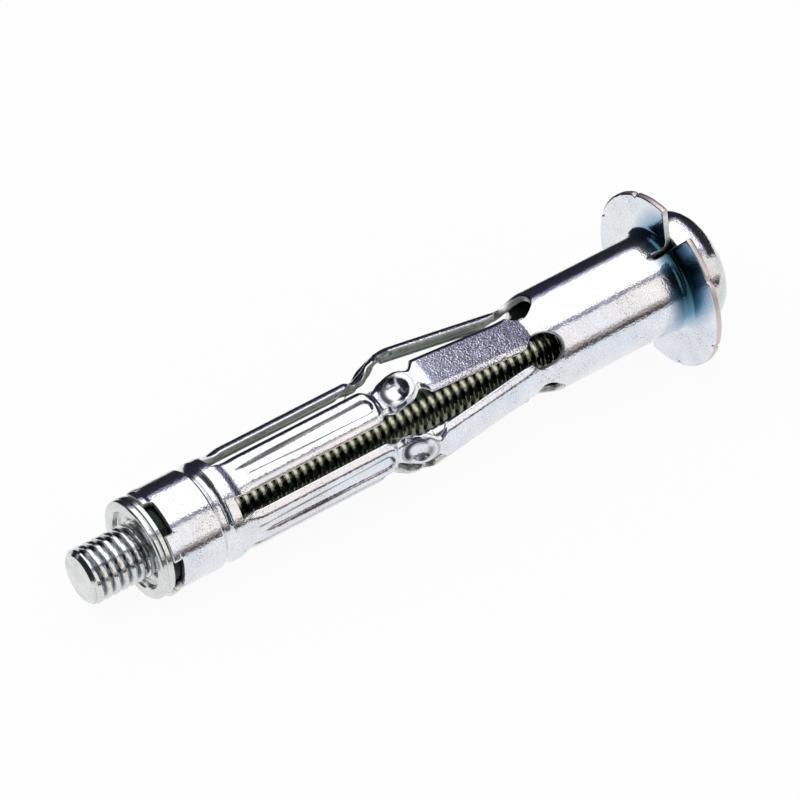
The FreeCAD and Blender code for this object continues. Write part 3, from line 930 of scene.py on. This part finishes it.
# The room is plain white where it is seen or mirrored. Its light on the anchor is weaker, and
# comes soft and even from all sides.
light_level = 0.6
white_level = 1.0
room = bpy.data.worlds.new("white room")
bpy.context.scene.world = room
room.use_nodes = True
tree = room.node_tree
background = tree.nodes["Background"]
background.inputs["Color"].default_value = (1, 1, 1, 1)
seen = seen_rays(tree, -800)
level = node(tree, "ShaderNodeMapRange", (-200, 300))
level.inputs["To Min"].default_value = light_level
level.inputs["To Max"].default_value = white_level
tree.links.new(seen, level.inputs["Value"])
tree.links.new(level.outputs["Result"], background.inputs["Strength"])

# Studio cards stand round the table as a photographer's black and tinted boards do, so that
# the bright metal mirrors their edges. They are seen only in reflections.
axis_way = np.array([math.cos(rest_lean), 0, math.sin(rest_lean)])
to_lens = np.array([-0.4605727, -0.3932006, 0.7957802])
facing = to_lens - axis_way * (to_lens @ axis_way)
facing = facing / np.linalg.norm(facing)
below = np.cross(axis_way, facing)
if below[2] > 0:
    below = -below


def mirrored(around, along):
    """Where the lens sees, mirrored in metal that faces that many degrees round and along."""
    turn, tilt = math.radians(around), math.radians(along)
    face = facing * math.cos(turn) + below * math.sin(turn)
    face = face * math.cos(tilt) + axis_way * math.sin(tilt)
    return 2 * (face @ to_lens) * face - to_lens


def only_mirrored(card):
    """Hides a card from all but reflections."""
    for way in ("camera", "diffuse", "shadow", "transmission", "volume_scatter"):
        setattr(card, "visible_" + way, False)


def studio_card(name, around, along, distance, colour, strength):
    """A glowing board that fills those angles of the anchor's metal with its reflection.

    The angles are in degrees: round from the side that faces the lens towards the front and
    down, and along towards the head.
    """
    side = 9
    rows = np.linspace(around[0], around[1], side)
    columns = np.linspace(along[0], along[1], side)
    corners = [mirrored(row, column) * distance for row in rows for column in columns]
    faces = []
    for row in range(side - 1):
        for column in range(side - 1):
            here = row * side + column
            faces.append((here, here + 1, here + side + 1, here + side))
    mesh = bpy.data.meshes.new(name)
    mesh.from_pydata([list(corner) for corner in corners], [], faces)
    card = bpy.data.objects.new(name, mesh)
    bpy.context.scene.collection.objects.link(card)
    paint = bpy.data.materials.new(name)
    paint.use_nodes = True
    paint.node_tree.nodes.clear()
    lit = node(paint.node_tree, "ShaderNodeEmission")
    lit.inputs["Color"].default_value = colour
    lit.inputs["Strength"].default_value = strength
    end = node(paint.node_tree, "ShaderNodeOutputMaterial", (300, 0))
    paint.node_tree.links.new(lit.outputs["Emission"], end.inputs["Surface"])
    mesh.materials.append(paint)
    only_mirrored(card)


studio_card("dark_board", (-64, -50), (-40, 40), 0.50, (0.02, 0.02, 0.03, 1), 1)
studio_card("purple_strip", (-50, -46), (-40, 40), 0.50, (0.45, 0.42, 0.62, 1), 1)
studio_card("bright_softbox", (-46, -8), (-24, 5.8), 0.60, (1, 1, 1, 1), 1.7)
studio_card("slope_board", (-50, 3), (6, 9.8), 0.50, (0.40, 0.38, 0.52, 1), 1)
studio_card("dark_end_board", (-50, 3), (9.8, 31), 0.50, (0.03, 0.03, 0.04, 1), 1)
studio_card("grey_strip", (-7.5, -3), (-30, 4.5), 0.50, (0.22, 0.22, 0.27, 1), 1)
studio_card("warm_softbox", (-2.5, 20), (-15, 20), 0.60, (1.0, 0.94, 0.90, 1), 1.15)
studio_card("tan_strip", (20, 24.5), (-50, 45), 0.50, (0.46, 0.39, 0.37, 1), 1)
studio_card("brown_strip", (24.5, 29.5), (-50, 45), 0.50, (0.05, 0.035, 0.035, 1), 1)
studio_card("teal_board", (-2, 15), (-33, -17), 0.45, (0.02, 0.03, 0.04, 1), 1)
studio_card("blue_board", (15, 31), (-33, -17), 0.45, (0.16, 0.18, 0.22, 1), 1)
studio_card("far_teal_board", (-50, -22), (-36, -25), 0.45, (0.03, 0.035, 0.045, 1), 1)
studio_card("tip_board", (-45, 25), (-70, -37), 0.45, (0.03, 0.035, 0.04, 1), 1)
studio_card("head_board", (-45, 25), (31, 60), 0.45, (0.03, 0.03, 0.035, 1), 1)

# One more black board lies flat behind the anchor and turns up at its far edge.
board_x = (-0.25, 0.5)
board_y = (0.014, 0.3)
board_z = (0.0002, 0.08)
back_board = bpy.data.meshes.new("back_board")
back_board.from_pydata(
    [(board_x[0], board_y[0], board_z[0]), (board_x[1], board_y[0], board_z[0]),
     (board_x[1], board_y[1], board_z[0]), (board_x[0], board_y[1], board_z[0]),
     (board_x[1], board_y[1], board_z[1]), (board_x[0], board_y[1], board_z[1])],
    [], [(0, 1, 2, 3), (3, 2, 4, 5)])
back_card = bpy.data.objects.new("back_board", back_board)
bpy.context.scene.collection.objects.link(back_card)
back_board.materials.append(bpy.data.materials["dark_board"])
only_mirrored(back_card)

# One large soft lamp hangs above and behind, and the metal doesn't mirror it.
key_place = (-0.35, 0.25, 0.9)
key = bpy.data.lights.new("soft_key", "AREA")
key.energy = 4.0
key.size = 0.8
key_light = bpy.data.objects.new("soft_key", key)
key_light.location = key_place
key_light.rotation_euler = Vector(key_place).to_track_quat("Z", "Y").to_euler()
key_light.visible_glossy = False
bpy.context.scene.collection.objects.link(key_light)

# The camera stands where the photograph was taken from, with a long lens, so that the
# anchor's far end is nearly as large as its near one.
lens = bpy.data.cameras.new("product_lens")
lens.lens = 233.5306
lens.sensor_width = 36
camera = bpy.data.objects.new("product_lens", lens)
camera.location = (-0.19455827, -0.16575901, 0.34383715)
camera_turns = (35.98211496, -10.44941024, -35.48675188)
camera.rotation_euler = [math.radians(turn) for turn in camera_turns]
bpy.context.scene.collection.objects.link(camera)
bpy.context.scene.camera = camera
bpy.context.scene.view_settings.view_transform = "Standard"
